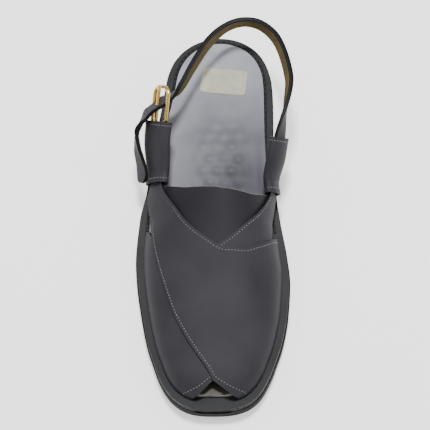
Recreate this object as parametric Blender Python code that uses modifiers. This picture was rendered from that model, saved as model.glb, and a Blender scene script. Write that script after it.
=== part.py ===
# Peshawari chappal, right foot: a leather sandal with two crossing panels over the forefoot,
# an instep tongue, two side sleeves, and a back strap that a brass buckle fastens on the outer side.
# +X is the inner (medial) side, +Y the heel, -Y the toe, +Z up.
# The origin is on the floor, under the middle of the heel's round.

import math

import bmesh
import bpy
from mathutils import Vector

mm = 0.001

# Driving sizes of the sole
sole_length = 297 * mm
heel_width = 77 * mm
ball_width = 108.4 * mm
toe_width = 68 * mm
heel_height = 12 * mm
heel_length = 86 * mm
heel_breast_hollow = 4 * mm
heel_inset = 0.8 * mm
toe_spring = 6.5 * mm
toe_round_length = 36 * mm
outsole_thickness = 6 * mm
outsole_proud = 0.8 * mm
welt_thickness = 5 * mm
insole_thickness = 3.2 * mm
rim_width = 5.6 * mm
edge_round = 0.6 * mm
fit_gap = 0.3 * mm
seam_gap = 0.45 * mm
insole_gap = 0.9 * mm

# Driving sizes of the upper
instep_height = 66 * mm
toe_box_height = 29.5 * mm
toe_wall_length = 26 * mm
upper_wall = 2 * mm
joint_bite = 0.4 * mm
drop_start_share = 0.75
tongue_thickness = 1.6 * mm

# Driving sizes of the sleeves, the strap and the buckle
sleeve_length = 42 * mm
sleeve_wall = 1.8 * mm
strap_width = 12 * mm
strap_thickness = 3 * mm
strap_seat = 8 * mm
strap_tip = 6 * mm
buckle_wire = 2.4 * mm
buckle_side_gap = 0.5 * mm
buckle_length = 31 * mm
buckle_corner = 6 * mm
buckle_seat = 3.5 * mm
buckle_lean_angle = math.radians(42)
medial_lean_angle = math.radians(22)
wing_share = 0.07
sleeve_room = 3.2 * mm
wing_room = 1.2 * mm
strap_room = 0.5 * mm
prong_wire = 2.6 * mm
prong_eye_share = 0.6
prong_eye_angle = math.radians(280)
prong_end_share = 1.02
prong_hole_gap = 0.5 * mm

# Shapes of the rounded ends: 2 is an ellipse, and more is squarer
heel_end_power = 2.0
toe_end_power = 2.8
toe_wall_power = 2.4
heel_middle_x = 1 * mm

# How finely each surface is divided
layer_rows = 36
heel_grid = (4, 14)
panel_grid = (16, 30)
tongue_grid = (10, 14)
sleeve_grid = (24, 9)
strap_grid = (2, 66)
front_power = 1.7
foot_power = 1.4
corner_steps = 5
eye_steps = 10
strap_tip_rows = 0.1

# What follows from these sizes
heel_back = heel_width / 2
toe_front = heel_back - sole_length
heel_share = heel_length / sole_length
buckle_half = strap_width / 2 + buckle_side_gap + buckle_wire
eye_depth = buckle_wire / 2 + prong_wire * prong_eye_share + 2 * fit_gap
prong_rest = buckle_wire / 2 + fit_gap + prong_wire / 2

# The sole's outline before its ends are rounded: half widths on the outer and inner side.
OUTLINE = (
    # share of the length, lateral, medial
    (0.000, 0.500 * heel_width, 0.500 * heel_width),
    (0.080, 0.500 * heel_width, 0.494 * heel_width),
    (0.170, 0.532 * heel_width, 0.517 * heel_width),
    (0.280, 0.591 * heel_width, 0.525 * heel_width),
    (0.430, 0.474 * ball_width, 0.395 * ball_width),
    (0.500, 0.515 * ball_width, 0.424 * ball_width),
    (0.595, 0.530 * ball_width, 0.470 * ball_width),
    (0.660, 0.517 * ball_width, 0.489 * ball_width),
    (0.745, 0.480 * ball_width, 0.478 * ball_width),
    (0.830, 0.429 * ball_width, 0.440 * ball_width),
    (0.890, 0.594 * toe_width, 0.622 * toe_width),
    (0.945, 0.521 * toe_width, 0.560 * toe_width),
    (1.000, 0.463 * toe_width, 0.537 * toe_width),
)

# The underside of the outsole: heel lift, flat forefoot and toe spring.
SOLE_LINE = (
    # share of the length, height
    (0.00, heel_height + fit_gap),
    (heel_share + 0.01, heel_height + fit_gap),
    (heel_share + 0.08, 0.80 * heel_height),
    (heel_share + 0.16, 0.38 * heel_height),
    (heel_share + 0.23, 0.10 * heel_height),
    (0.58, 0.0),
    (0.70, 0.0),
    (0.80, 0.18 * toe_spring),
    (0.90, 0.55 * toe_spring),
    (1.00, 1.00 * toe_spring),
)

# How far the upper and the insole are drawn in from the welt's edge. At the wings the upper
# bulges out to the edge with the foot.
DRAWN_IN = (
    # share of the length, upper, insole
    (0.00, 0.00 * rim_width, 1.03 * rim_width),
    (0.45, 0.00 * rim_width, 1.00 * rim_width),
    (0.50, 0.55 * rim_width, 1.30 * rim_width),
    (0.54, 1.00 * rim_width, 1.00 * rim_width + upper_wall + insole_gap),
    (0.85, 1.00 * rim_width, 1.00 * rim_width + upper_wall + insole_gap),
    (1.00, 1.05 * rim_width, 1.25 * rim_width + upper_wall + insole_gap),
)

# The last, the form that the upper is drawn over. The exponents shape its section on the outer
# and inner side: 1 is a roof, 2 an ellipse, and more is boxy.
LAST = (
    # share of the length, ridge height over the floor, ridge place to the inner side, exponents
    (0.38, 1.200 * instep_height, 0.045 * ball_width, 1.25, 2.20),
    (0.44, 0.970 * instep_height, 0.045 * ball_width, 1.33, 2.20),
    (0.50, 0.860 * instep_height, 0.040 * ball_width, 1.55, 2.10),
    (0.60, 0.700 * instep_height, 0.030 * ball_width, 1.95, 2.15),
    (0.70, 0.580 * instep_height, 0.022 * ball_width, 2.30, 2.40),
    (0.80, 1.130 * toe_box_height, 0.020 * ball_width, 2.50, 2.60),
    (0.90, 1.010 * toe_box_height, 0.020 * ball_width, 2.60, 2.60),
    (1.00, 0.960 * toe_box_height, 0.020 * ball_width, 2.60, 2.60),
)

# The rear and front edges of each piece over the last. Each place is a share of the sole's
# length and a turn round the last: -1 outer edge, 0 ridge, 1 inner edge. A panel runs from its
# free wing to where it meets the sole.
OVER_PANEL = (
    # along, rear share, rear turn, front share, front turn
    (0.00, 0.412, -0.650, 0.402, -0.760),
    (0.07, 0.443, -0.615, 0.430, -0.780),
    (0.20, 0.516, -0.436, 0.500, -0.750),
    (0.32, 0.565, -0.280, 0.593, -0.645),
    (0.44, 0.605, -0.090, 0.690, -0.510),
    (0.56, 0.628, 0.065, 0.780, -0.380),
    (0.68, 0.628, 0.236, 0.860, -0.205),
    (0.80, 0.613, 0.421, 0.921, -0.043),
    (0.90, 0.585, 0.680, 0.958, 0.113),
    (0.95, 0.568, 0.860, 0.962, 0.500),
    (1.00, 0.560, 1.000, 0.966, 1.000),
)
UNDER_PANEL = (
    # along, rear share, rear turn, front share, front turn
    (0.00, 0.432, 0.730, 0.425, 0.880),
    (0.07, 0.465, 0.710, 0.458, 0.900),
    (0.20, 0.523, 0.529, 0.520, 0.850),
    (0.32, 0.569, 0.273, 0.590, 0.700),
    (0.44, 0.605, 0.080, 0.690, 0.540),
    (0.56, 0.628, -0.100, 0.780, 0.400),
    (0.68, 0.622, -0.330, 0.860, 0.220),
    (0.80, 0.600, -0.600, 0.925, 0.060),
    (0.90, 0.552, -0.800, 0.954, -0.120),
    (0.95, 0.540, -0.910, 0.963, -0.450),
    (1.00, 0.530, -1.000, 0.968, -1.000),
)
TONGUE = (
    # along from the outer to the inner side, rear share, rear turn, front share, front turn
    (0.00, 0.450, -0.600, 0.560, -0.700),
    (0.25, 0.475, -0.355, 0.650, -0.400),
    (0.50, 0.487, -0.050, 0.690, 0.000),
    (0.75, 0.493, 0.340, 0.650, 0.400),
    (1.00, 0.474, 0.720, 0.560, 0.780),
)

# The middle of each sleeve, from its mouth at the wing to its top.
LATERAL_SLEEVE = (
    # inward, back, up, share of the top's lean
    (0.012 * sleeve_length, 0.62 * sleeve_length, 0.34 * sleeve_length, 0.7),
    (0.045 * sleeve_length, 0.94 * sleeve_length, 0.53 * sleeve_length, 1.0),
)
MEDIAL_SLEEVE = (
    # inward, back, up, share of the top's lean
    (-0.070 * sleeve_length, 0.56 * sleeve_length, 0.34 * sleeve_length, 0.7),
    (-0.120 * sleeve_length, 0.83 * sleeve_length, 0.50 * sleeve_length, 1.0),
)

# The back strap's middle from the medial sleeve round the heel, its top leaning to the ankle.
STRAP_ARC = (
    # to the inner side, back, up, lean in degrees
    (0.477 * ball_width, -0.416 * heel_width, 0.84 * instep_height, 14),
    (0.484 * ball_width, -0.195 * heel_width, 0.86 * instep_height, 10),
    (0.574 * heel_width, 0.182 * heel_width, 0.87 * instep_height, 8),
    (0.419 * heel_width, 0.360 * heel_width, 0.87 * instep_height, 8),
    (0.250 * heel_width, 0.405 * heel_width, 0.87 * instep_height, 8),
    (0.082 * heel_width, 0.345 * heel_width, 0.87 * instep_height, 10),
    (-0.078 * heel_width, 0.180 * heel_width, 0.87 * instep_height, 14),
    (-0.221 * heel_width, -0.080 * heel_width, 0.87 * instep_height, 20),
    (-0.347 * heel_width, -0.338 * heel_width, 0.87 * instep_height, 32),
)
# The strap through the buckle frame, from the middle of its near bar. The second column is a
# share of the height at which the strap lies flat on the sleeve.
STRAP_AT_BUCKLE = (
    # back, outward, down, share of the turn to upright
    (0.66 * buckle_length, -0.72, -0.08 * strap_width, 0.00),
    (0.52 * buckle_length, 0.04, 0.00 * strap_width, 0.00),
    (0.31 * buckle_length, 1.15, 0.24 * strap_width, 0.20),
    (0.08 * buckle_length, 1.34, 0.68 * strap_width, 0.60),
)
# The strap's tail outside the lateral sleeve, from the sleeve's surface.
STRAP_TAIL = (
    # along the sleeve, outward, down, share of the turn to upright
    (0.20, 0.92 * strap_thickness, 0.98 * strap_width, 0.85),
    (0.42, 0.60 * strap_thickness, 0.98 * strap_width, 0.70),
    (0.70, 0.25 * strap_thickness, 0.84 * strap_width, 0.30),
    (1.00, 0.15 * strap_thickness, 0.50 * strap_width, 0.00),
)


def smooth(table, column, share):
    """A table's column at a share, on a curve that never overshoots its rows."""
    places = [row[0] for row in table]
    levels = [row[column] for row in table]
    share = min(max(share, places[0]), places[-1])
    spans = [after - before for before, after in zip(places, places[1:])]
    steps = [(after - before) / span for before, after, span in zip(levels, levels[1:], spans)]
    slopes = [2 * a * b / (a + b) if a * b > 0 else 0.0 for a, b in zip(steps, steps[1:])]
    slopes = [steps[0]] + slopes + [steps[-1]]
    index = next(i for i in range(len(spans)) if share <= places[i + 1])
    part = (share - places[index]) / spans[index]
    rise = (levels[index + 1] - levels[index]) * part * part * (3 - 2 * part)
    bend = slopes[index] * (1 - part) - slopes[index + 1] * part
    return levels[index] + rise + spans[index] * part * (1 - part) * bend


def follow(places, points, along):
    """A point of the smooth curve through points that stand at the given places."""
    along = min(max(along, places[0]), places[-1])
    index = next(i for i in range(len(places) - 1) if along <= places[i + 1])
    slopes = []
    for knot in (index, index + 1):
        before = max(knot - 1, 0)
        after = min(knot + 1, len(points) - 1)
        slopes.append((points[after] - points[before]) / (places[after] - places[before]))
    span = places[index + 1] - places[index]
    part = (along - places[index]) / span
    rise = (points[index + 1] - points[index]) * part * part * (3 - 2 * part)
    bend = slopes[0] * (1 - part) - slopes[1] * part
    return points[index] + rise + bend * (span * part * (1 - part))


def reach_of(part, power):
    """How far a rounded end is open: 0 at its tip, 1 from where it runs straight."""
    part = min(max(part, 0.0), 1.0)
    return (1 - (1 - part) ** power) ** (1 / power)


def share_at(y):
    return (heel_back - y) / sole_length


def half_width(side, y, inset):
    """Half width of the sole on one side, for an outline drawn in by an inset."""
    flat = smooth(OUTLINE, 1 if side < 0 else 2, share_at(y)) - inset
    heel_part = (heel_back - inset - y) / (heel_back - inset)
    toe_part = (y - toe_front - inset) / (toe_round_length - inset)
    return flat * reach_of(heel_part, heel_end_power) * reach_of(toe_part, toe_end_power)


def underside(share):
    return smooth(SOLE_LINE, 1, share)


def foot_height(share):
    """Where the upper stands, just over the welt."""
    return underside(share) + outsole_thickness + fit_gap + welt_thickness + seam_gap


def last_point(share, turn, lift):
    """A point over the last, lifted off its surface."""
    y = heel_back - share * sole_length
    side = -1 if turn < 0 else 1
    drawn_in = smooth(DRAWN_IN, 1, share) + upper_wall - lift
    ridge = smooth(LAST, 2, share)
    power = 2 / smooth(LAST, 3 if side < 0 else 4, share)
    foot = foot_height(share)
    toe_part = (y - toe_front - drawn_in) / toe_wall_length
    rise = (smooth(LAST, 1, share) + lift - foot) * reach_of(toe_part, toe_wall_power)
    reach = half_width(side, y, drawn_in) - side * ridge
    angle = abs(turn) * math.pi / 2
    x = ridge + side * reach * math.sin(angle) ** power
    return Vector((x, y, foot + rise * math.cos(angle) ** power))


def panel_point(panel, along, across, lift):
    """A point of a panel, across it from its rear edge to its front edge."""
    rear = (smooth(panel, 1, along), smooth(panel, 2, along))
    front = (smooth(panel, 3, along), smooth(panel, 4, along))
    share = rear[0] + (front[0] - rear[0]) * across
    turn = rear[1] + (front[1] - rear[1]) * across
    return last_point(share, turn, lift)


def over_lift(along):
    """The over panel rides on the under panel, and comes down beside it at its foot."""
    drop = min(max((along - drop_start_share) / (1 - drop_start_share), 0.0), 1.0)
    return (upper_wall - joint_bite) * (1 - drop * drop * (3 - 2 * drop)) + joint_bite * drop


def finish(name, mesh, material, collection):
    """Puts a mesh in the scene as one named sub-part."""
    part = bpy.data.objects.new(name, mesh)
    part.data.materials.append(material)
    collection.objects.link(part)
    return part


def grid_mesh(name, columns, rows, place, closed=False, flipped=False):
    """A grid of quads whose points go where place(across, along) says, both from 0 to 1."""
    grid = bmesh.new()
    bmesh.ops.create_grid(grid, x_segments=columns, y_segments=rows, size=0.5)
    for vert in grid.verts:
        vert.co = place(vert.co.x + 0.5, vert.co.y + 0.5)
    bmesh.ops.remove_doubles(grid, verts=grid.verts, dist=0.001 * mm)
    if flipped:
        bmesh.ops.reverse_faces(grid, faces=grid.faces)
    mesh = bpy.data.meshes.new(name)
    grid.to_mesh(mesh)
    grid.free()
    return mesh


def thicken(part, wall, offset, even=True):
    solidify = part.modifiers.new("wall", "SOLIDIFY")
    solidify.thickness = wall
    solidify.offset = offset
    solidify.use_even_offset = even
    solidify.use_quality_normals = True


def round_edges(part, width, segments=2):
    bevel = part.modifiers.new("rounded edges", "BEVEL")
    bevel.width = width
    bevel.segments = segments
    bevel.limit_method = "ANGLE"
    bevel.angle_limit = math.radians(50)


def sole_layer(name, inset, lower, thickness, material, front=None, grid=(1, layer_rows), hollow=0.0):
    """A layer of the sole, from the heel's back to the toe or to a front of its own."""
    back = heel_back - inset(0)
    end = toe_front + inset(1) if front is None else front
    turn = math.pi if front is None else math.pi / 2
    whole = 1 - math.cos(turn)

    def place(across, along):
        eased = (1 - math.cos(turn * along)) / whole
        bow = hollow * eased * (1 - (2 * across - 1) ** 2)
        y = back + (end - back) * eased
        drawn_in = inset(share_at(y))
        outer = -half_width(-1, y, drawn_in)
        inner = half_width(1, y, drawn_in)
        return Vector((outer + (inner - outer) * across, y + bow, lower(share_at(y))))

    mesh = grid_mesh(name, *grid, place)
    layer = bmesh.new()
    layer.from_mesh(mesh)
    raised = bmesh.ops.extrude_face_region(layer, geom=layer.faces)["geom"]
    points = [item for item in raised if isinstance(item, bmesh.types.BMVert)]
    bmesh.ops.translate(layer, verts=points, vec=(0, 0, thickness))
    bmesh.ops.recalc_face_normals(layer, faces=layer.faces)
    layer.to_mesh(mesh)
    layer.free()
    part = finish(name, mesh, material, parts)
    round_edges(part, edge_round)
    return part


def over_last(name, edges, lift, wall, offset, grid, material, collection):
    """A leather piece drawn over the last between its rear and front edges."""
    runs_inward = edges[0][2] < edges[-1][2]

    def place(across, along):
        across = 1 - (1 - across) ** front_power
        along = 1 - (1 - along) ** foot_power
        return panel_point(edges, along, across, lift(along))

    mesh = grid_mesh(name, *grid, place, flipped=not runs_inward)
    piece = finish(name, mesh, material, collection)
    thicken(piece, wall, offset)
    return piece


def make_upper(leather):
    """Two panels that cross over the forefoot, sewn into one hollow wall."""
    under = over_last("upper", UNDER_PANEL, lambda along: 0.0, upper_wall, 1, panel_grid, leather, parts)
    over = over_last("over_panel", OVER_PANEL, over_lift, upper_wall, 1, panel_grid, leather, guides)
    over.hide_render = True
    over.display_type = "WIRE"
    joined = under.modifiers.new("over panel", "BOOLEAN")
    joined.operation = "UNION"
    joined.solver = "EXACT"
    joined.object = over
    return under


def make_route(centres, broads):
    """A band's route: its middle points, its broad directions and their places along it."""
    lengths = [0.0]
    for before, after in zip(centres, centres[1:]):
        lengths.append(lengths[-1] + (after - before).length)
    return [length / lengths[-1] for length in lengths], centres, broads, lengths[-1]


def band_frame(route, along):
    """Middle, forward, broad and outward directions of a band at a place on its route."""
    places, centres, broads, length = route
    step = 0.5 * mm / length
    ahead = follow(places, centres, along + step) - follow(places, centres, along - step)
    ahead.normalize()
    broad = follow(places, broads, along)
    broad = (broad - ahead * broad.dot(ahead)).normalized()
    return follow(places, centres, along), ahead, broad, ahead.cross(broad)


def sleeve_size(half_band, half_wall):
    """Outer half width and half depth of an oval sleeve that just clears a flat band inside it."""
    inner_half = half_band + sleeve_room
    inner_depth = (half_wall + fit_gap) / math.sqrt(1 - (half_band / inner_half) ** 2)
    return inner_half + sleeve_wall, inner_depth + sleeve_wall


def sleeve_route(side, panel, lift, table, lean):
    """From the wing's mouth, through the wing's end, to the sleeve's top."""
    middle = lift + upper_wall / 2
    mouth = panel_point(panel, wing_share, 0.5, middle)
    upper_edge = panel_point(panel, wing_share, 0.0, middle)
    lower_edge = panel_point(panel, wing_share, 1.0, middle)
    wing_end = panel_point(panel, 0.0, 0.5, middle)
    mouth_broad = (upper_edge - lower_edge).normalized()
    top_broad = Vector((-side * math.sin(lean), 0, math.cos(lean)))
    centres = [mouth, wing_end]
    broads = [mouth_broad, mouth_broad]
    for inward, back, up, turned in table:
        centres.append(mouth + Vector((-side * inward, back, up)))
        broads.append(mouth_broad.lerp(top_broad, turned))
    if side < 0:
        centres.reverse()
        broads.reverse()
    return make_route(centres, broads), (upper_edge - lower_edge).length / 2


def make_sleeve(name, route, sections, material):
    """A hollow leather sleeve with an oval section, open at both ends."""
    def place(around, along):
        middle, ahead, broad, outward = band_frame(route, along)
        half = smooth(sections, 1, along)
        depth = smooth(sections, 2, along)
        angle = 2 * math.pi * around
        return middle + broad * (half * math.cos(angle)) + outward * (depth * math.sin(angle))

    sleeve = finish(name, grid_mesh(name, *sleeve_grid, place), material, parts)
    thicken(sleeve, sleeve_wall, -1, even=False)
    return sleeve


def cut(part, cutter):
    """Takes a cutter's shape out of a piece."""
    hole = part.modifiers.new("cut", "BOOLEAN")
    hole.operation = "DIFFERENCE"
    hole.solver = "EXACT"
    hole.object = cutter


def make_wire(name, points, radii, wire, closed, material):
    """A round wire through points, with a share of its full radius at each."""
    curve = bpy.data.curves.new(name, "CURVE")
    curve.dimensions = "3D"
    curve.bevel_depth = wire / 2
    curve.bevel_resolution = 2
    curve.use_fill_caps = not closed
    spline = curve.splines.new("POLY")
    spline.points.add(len(points) - 1)
    for knot, point, radius in zip(spline.points, points, radii):
        knot.co = (*point, 1)
        knot.radius = radius
    spline.use_cyclic_u = closed
    return finish(name, curve, material, parts)


def wire_to_mesh(part, collection):
    """Makes a wire a mesh with welded caps, so that it can cut or be joined."""
    bpy.context.view_layer.update()
    seen = part.evaluated_get(bpy.context.evaluated_depsgraph_get())
    mesh = bpy.data.meshes.new_from_object(seen)
    solid = bmesh.new()
    solid.from_mesh(mesh)
    bmesh.ops.remove_doubles(solid, verts=solid.verts, dist=0.001 * mm)
    solid.to_mesh(mesh)
    solid.free()
    name = part.name
    bpy.data.objects.remove(part)
    made = bpy.data.objects.new(name, mesh)
    collection.objects.link(made)
    return made


def make_buckle(frame_at, brass):
    """An oval wire frame whose near bar lies in the sleeve's top."""
    near, back, broad, outward = frame_at
    straight = buckle_half - buckle_wire / 2 - buckle_corner
    far = buckle_length - buckle_wire
    corners = (
        (far - buckle_corner, straight, 0),
        (buckle_corner, straight, 90),
        (buckle_corner, -straight, 180),
        (far - buckle_corner, -straight, 270),
    )
    points = []
    for along, across, start in corners:
        for step in range(corner_steps + 1):
            angle = math.radians(start + 90 * step / corner_steps)
            reach = along + buckle_corner * math.cos(angle)
            side = across + buckle_corner * math.sin(angle)
            points.append(near + back * reach + broad * side)
    return make_wire("buckle_frame", points, [1.0] * len(points), buckle_wire, True, brass)


def prong_path(frame_at):
    """Round the near bar in an eye, then straight to rest on the far bar."""
    near, back, broad, outward = frame_at
    eye = buckle_wire / 2 + fit_gap + prong_wire * prong_eye_share / 2
    far = buckle_length - buckle_wire
    points = []
    radii = []
    for step in range(eye_steps + 1):
        angle = prong_eye_angle * (step / eye_steps - 1)
        points.append(near + back * (eye * math.sin(angle)) + outward * (eye * math.cos(angle)))
        radii.append(prong_eye_share)
    for part in (0.25, 0.5, 0.75, prong_end_share):
        points.append(near + back * (far * part) + outward * prong_rest)
        radii.append(1.0)
    return points, radii


def strap_route(medial_route, lateral_route, lateral_sections, buckle_at):
    """From inside the medial sleeve, round the heel, out through the buckle and down outside."""
    places = []
    for share in (1 - strap_seat / medial_route[3], 1.0):
        middle, ahead, broad, outward = band_frame(medial_route, share)
        places.append((middle, broad))
    ankle = Vector((heel_middle_x, 0, 0))
    for across, back, up, lean in STRAP_ARC:
        point = Vector((across, back, up))
        inward = Vector((ankle.x - point.x, ankle.y - point.y, 0)).normalized()
        lean = math.radians(lean)
        places.append((point, inward * math.sin(lean) + Vector((0, 0, math.cos(lean)))))
    near, back, broad, outward = buckle_at
    flat = smooth(lateral_sections, 2, 0) + strap_thickness / 2
    for reach, out, down, stand in STRAP_AT_BUCKLE:
        point = near + back * reach + outward * (flat * out) - broad * down
        places.append((point, broad.lerp(Vector((0, 0, 1)), stand)))
    for along, gap, down, stand in STRAP_TAIL:
        middle, ahead, broad, outward = band_frame(lateral_route, along)
        out = smooth(lateral_sections, 2, along) + strap_thickness / 2 + gap
        point = middle + outward * out - broad * down
        places.append((point, broad.lerp(Vector((0, 0, 1)), stand)))
    return make_route([place[0] for place in places], [place[1] for place in places])


def make_strap(route, cutter, leather):
    """A flat strap with a rounded tip, pierced where the prong passes through it."""
    tip_share = strap_tip / route[3]
    straight_rows = 1 - strap_tip_rows

    def place(across, along):
        if along < straight_rows:
            reach = along / straight_rows * (1 - tip_share)
        else:
            tip_angle = (along - straight_rows) / strap_tip_rows * math.pi / 2
            reach = 1 - tip_share + tip_share * math.sin(tip_angle)
        tip_part = (1 - reach) / tip_share
        half = max(strap_width / 2 * reach_of(tip_part, 2.0), edge_round / 4)
        middle, ahead, broad, outward = band_frame(route, reach)
        return middle + broad * (half * (2 * across - 1))

    strap = finish("back_strap", grid_mesh("back_strap", *strap_grid, place), leather, parts)
    thicken(strap, strap_thickness, 0)
    cut(strap, cutter)
    return strap


def material(name, colour, roughness, metallic=0.0):
    made = bpy.data.materials.new(name)
    made.use_nodes = True
    shader = made.node_tree.nodes["Principled BSDF"]
    shader.inputs["Base Color"].default_value = (*colour, 1)
    shader.inputs["Roughness"].default_value = roughness
    shader.inputs["Metallic"].default_value = metallic
    made.diffuse_color = (*colour, 1)
    return made


def new_collection(name):
    made = bpy.data.collections.new(name)
    bpy.context.scene.collection.children.link(made)
    return made


def draw_in(column, extra=0.0):
    return lambda share: smooth(DRAWN_IN, column, share) + extra


def raised(height):
    return lambda share: underside(share) + height


for thing in list(bpy.data.objects):
    bpy.data.objects.remove(thing)
parts = new_collection("peshawari_chappal")
guides = new_collection("guides_and_cutters")

upper_leather = material("grey_leather", (0.070, 0.069, 0.078), 0.45)
tongue_leather = material("dark_leather", (0.045, 0.044, 0.050), 0.5)
rubber = material("black_rubber", (0.008, 0.008, 0.009), 0.6)
welt_leather = material("welt_leather", (0.058, 0.060, 0.063), 0.5)
lining = material("insole_leather", (0.255, 0.260, 0.290), 0.4)
brass = material("brass", (0.75, 0.52, 0.20), 0.25, 1.0)

outsole_top = outsole_thickness + fit_gap
welt_top = outsole_top + welt_thickness + fit_gap
sole_layer("outsole", lambda share: -outsole_proud, raised(0), outsole_thickness, rubber)
sole_layer("heel", lambda share: heel_inset, lambda share: 0.0, heel_height, rubber,
           front=heel_back - heel_length, grid=heel_grid, hollow=heel_breast_hollow)
sole_layer("welt", lambda share: 0.0, raised(outsole_top), welt_thickness, welt_leather)
sole_layer("insole", draw_in(2), raised(welt_top), insole_thickness, lining)

make_upper(upper_leather)
over_last("tongue", TONGUE, lambda along: -fit_gap, tongue_thickness, -1, tongue_grid,
          tongue_leather, parts)

lateral_route, lateral_wing = sleeve_route(-1, OVER_PANEL, over_lift(0), LATERAL_SLEEVE, buckle_lean_angle)
medial_route, medial_wing = sleeve_route(1, UNDER_PANEL, 0.0, MEDIAL_SLEEVE, medial_lean_angle)
lateral_top = (buckle_half + sleeve_room + sleeve_wall, eye_depth + sleeve_wall)
medial_top = sleeve_size(strap_width / 2, strap_thickness / 2 + strap_room)
lateral_mouth = sleeve_size(lateral_wing, upper_wall / 2 + wing_room)
medial_mouth = sleeve_size(medial_wing, upper_wall / 2 + wing_room)
lateral_sections = ((0, *lateral_top), (1, *lateral_mouth))
medial_sections = ((0, *medial_mouth), (1, *medial_top))
lateral_sleeve = make_sleeve("lateral_sleeve", lateral_route, lateral_sections, upper_leather)
make_sleeve("medial_sleeve", medial_route, medial_sections, upper_leather)

seat, ahead, broad, outward = band_frame(lateral_route, buckle_seat / lateral_route[3])
buckle_at = (seat, -ahead, broad, outward)
make_buckle(buckle_at, brass)
points, radii = prong_path(buckle_at)
make_wire("buckle_prong", points, radii, prong_wire, False, brass)
slot_points = points[eye_steps:]
slot_wire = prong_wire + 2 * prong_hole_gap
slot = make_wire("prong_slot", slot_points, [1.0] * len(slot_points), slot_wire, False, brass)
slot = wire_to_mesh(slot, guides)
slot.hide_render = True
slot.display_type = "WIRE"
cut(lateral_sleeve, slot)
make_strap(strap_route(medial_route, lateral_route, lateral_sections, buckle_at), slot, upper_leather)
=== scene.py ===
# Peshawari chappal, right foot: satin grey leather over a padded insole and a welted sole.
# +X is the inner side, +Y the heel, -Y the toe, +Z up; metres.

import math

import bpy
from mathutils import Matrix, Vector


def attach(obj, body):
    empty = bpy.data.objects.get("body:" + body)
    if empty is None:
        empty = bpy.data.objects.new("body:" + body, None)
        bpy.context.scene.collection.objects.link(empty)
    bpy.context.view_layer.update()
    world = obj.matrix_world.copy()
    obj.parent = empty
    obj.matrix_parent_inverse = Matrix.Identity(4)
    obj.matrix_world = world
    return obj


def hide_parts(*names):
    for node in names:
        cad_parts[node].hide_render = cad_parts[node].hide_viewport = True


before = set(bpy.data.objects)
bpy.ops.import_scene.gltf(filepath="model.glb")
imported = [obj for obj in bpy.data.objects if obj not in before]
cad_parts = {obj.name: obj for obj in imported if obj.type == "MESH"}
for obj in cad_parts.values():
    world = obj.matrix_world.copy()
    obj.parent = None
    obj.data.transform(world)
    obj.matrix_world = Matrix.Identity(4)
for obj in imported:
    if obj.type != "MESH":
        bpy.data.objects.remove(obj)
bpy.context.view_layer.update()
print("frame loaded:", len(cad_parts), "nodes")

mm = 0.001

# The sole, as the solids have it
sole = {
    "length": 297 * mm,
    "heelWidth": 77 * mm,
    "ballWidth": 108.4 * mm,
    "toeWidth": 68 * mm,
    "heelHeight": 12 * mm,
    "heelLength": 86 * mm,
    "heelHollow": 4 * mm,
    "heelInset": 0.8 * mm,
    "toeSpring": 6.5 * mm,
    "toeRound": 36 * mm,
    "outsole": 6 * mm,
    "proud": 0.8 * mm,
    "welt": 5 * mm,
    "insole": 3.2 * mm,
    "rim": 5.6 * mm,
    "gap": 0.3 * mm,
    "seamGap": 0.45 * mm,
    "insoleGap": 0.9 * mm,
}
heelBack = sole["heelWidth"] / 2
toeFront = heelBack - sole["length"]

# share of the length, lateral half width, medial half width
soleOutline = (
    (0.000, 0.500 * sole["heelWidth"], 0.500 * sole["heelWidth"]),
    (0.080, 0.500 * sole["heelWidth"], 0.494 * sole["heelWidth"]),
    (0.170, 0.532 * sole["heelWidth"], 0.517 * sole["heelWidth"]),
    (0.280, 0.591 * sole["heelWidth"], 0.525 * sole["heelWidth"]),
    (0.430, 0.474 * sole["ballWidth"], 0.395 * sole["ballWidth"]),
    (0.500, 0.515 * sole["ballWidth"], 0.424 * sole["ballWidth"]),
    (0.595, 0.530 * sole["ballWidth"], 0.470 * sole["ballWidth"]),
    (0.660, 0.517 * sole["ballWidth"], 0.489 * sole["ballWidth"]),
    (0.745, 0.480 * sole["ballWidth"], 0.478 * sole["ballWidth"]),
    (0.830, 0.429 * sole["ballWidth"], 0.440 * sole["ballWidth"]),
    (0.890, 0.594 * sole["toeWidth"], 0.622 * sole["toeWidth"]),
    (0.945, 0.521 * sole["toeWidth"], 0.560 * sole["toeWidth"]),
    (1.000, 0.463 * sole["toeWidth"], 0.537 * sole["toeWidth"]),
)
heelShare = sole["heelLength"] / sole["length"]
# share of the length, height of the underside
soleLine = (
    (0.00, sole["heelHeight"] + sole["gap"]),
    (heelShare + 0.01, sole["heelHeight"] + sole["gap"]),
    (heelShare + 0.08, 0.80 * sole["heelHeight"]),
    (heelShare + 0.16, 0.38 * sole["heelHeight"]),
    (heelShare + 0.23, 0.10 * sole["heelHeight"]),
    (0.58, 0.0),
    (0.70, 0.0),
    (0.80, 0.18 * sole["toeSpring"]),
    (0.90, 0.55 * sole["toeSpring"]),
    (1.00, 1.00 * sole["toeSpring"]),
)

# The last and the leather drawn over it
upper = {
    "instep": 66 * mm,
    "toeBox": 29.5 * mm,
    "toeWall": 26 * mm,
    "wall": 2 * mm,
    "bite": 0.4 * mm,
    "dropStart": 0.75,
}
wall = upper["wall"]
# share of the length, how far upper and insole are drawn in from the welt's edge
drawnIn = (
    (0.00, 0.00 * sole["rim"], 1.03 * sole["rim"]),
    (0.45, 0.00 * sole["rim"], 1.00 * sole["rim"]),
    (0.50, 0.55 * sole["rim"], 1.30 * sole["rim"]),
    (0.54, 1.00 * sole["rim"], 1.00 * sole["rim"] + wall + sole["insoleGap"]),
    (0.85, 1.00 * sole["rim"], 1.00 * sole["rim"] + wall + sole["insoleGap"]),
    (1.00, 1.05 * sole["rim"], 1.25 * sole["rim"] + wall + sole["insoleGap"]),
)
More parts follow.
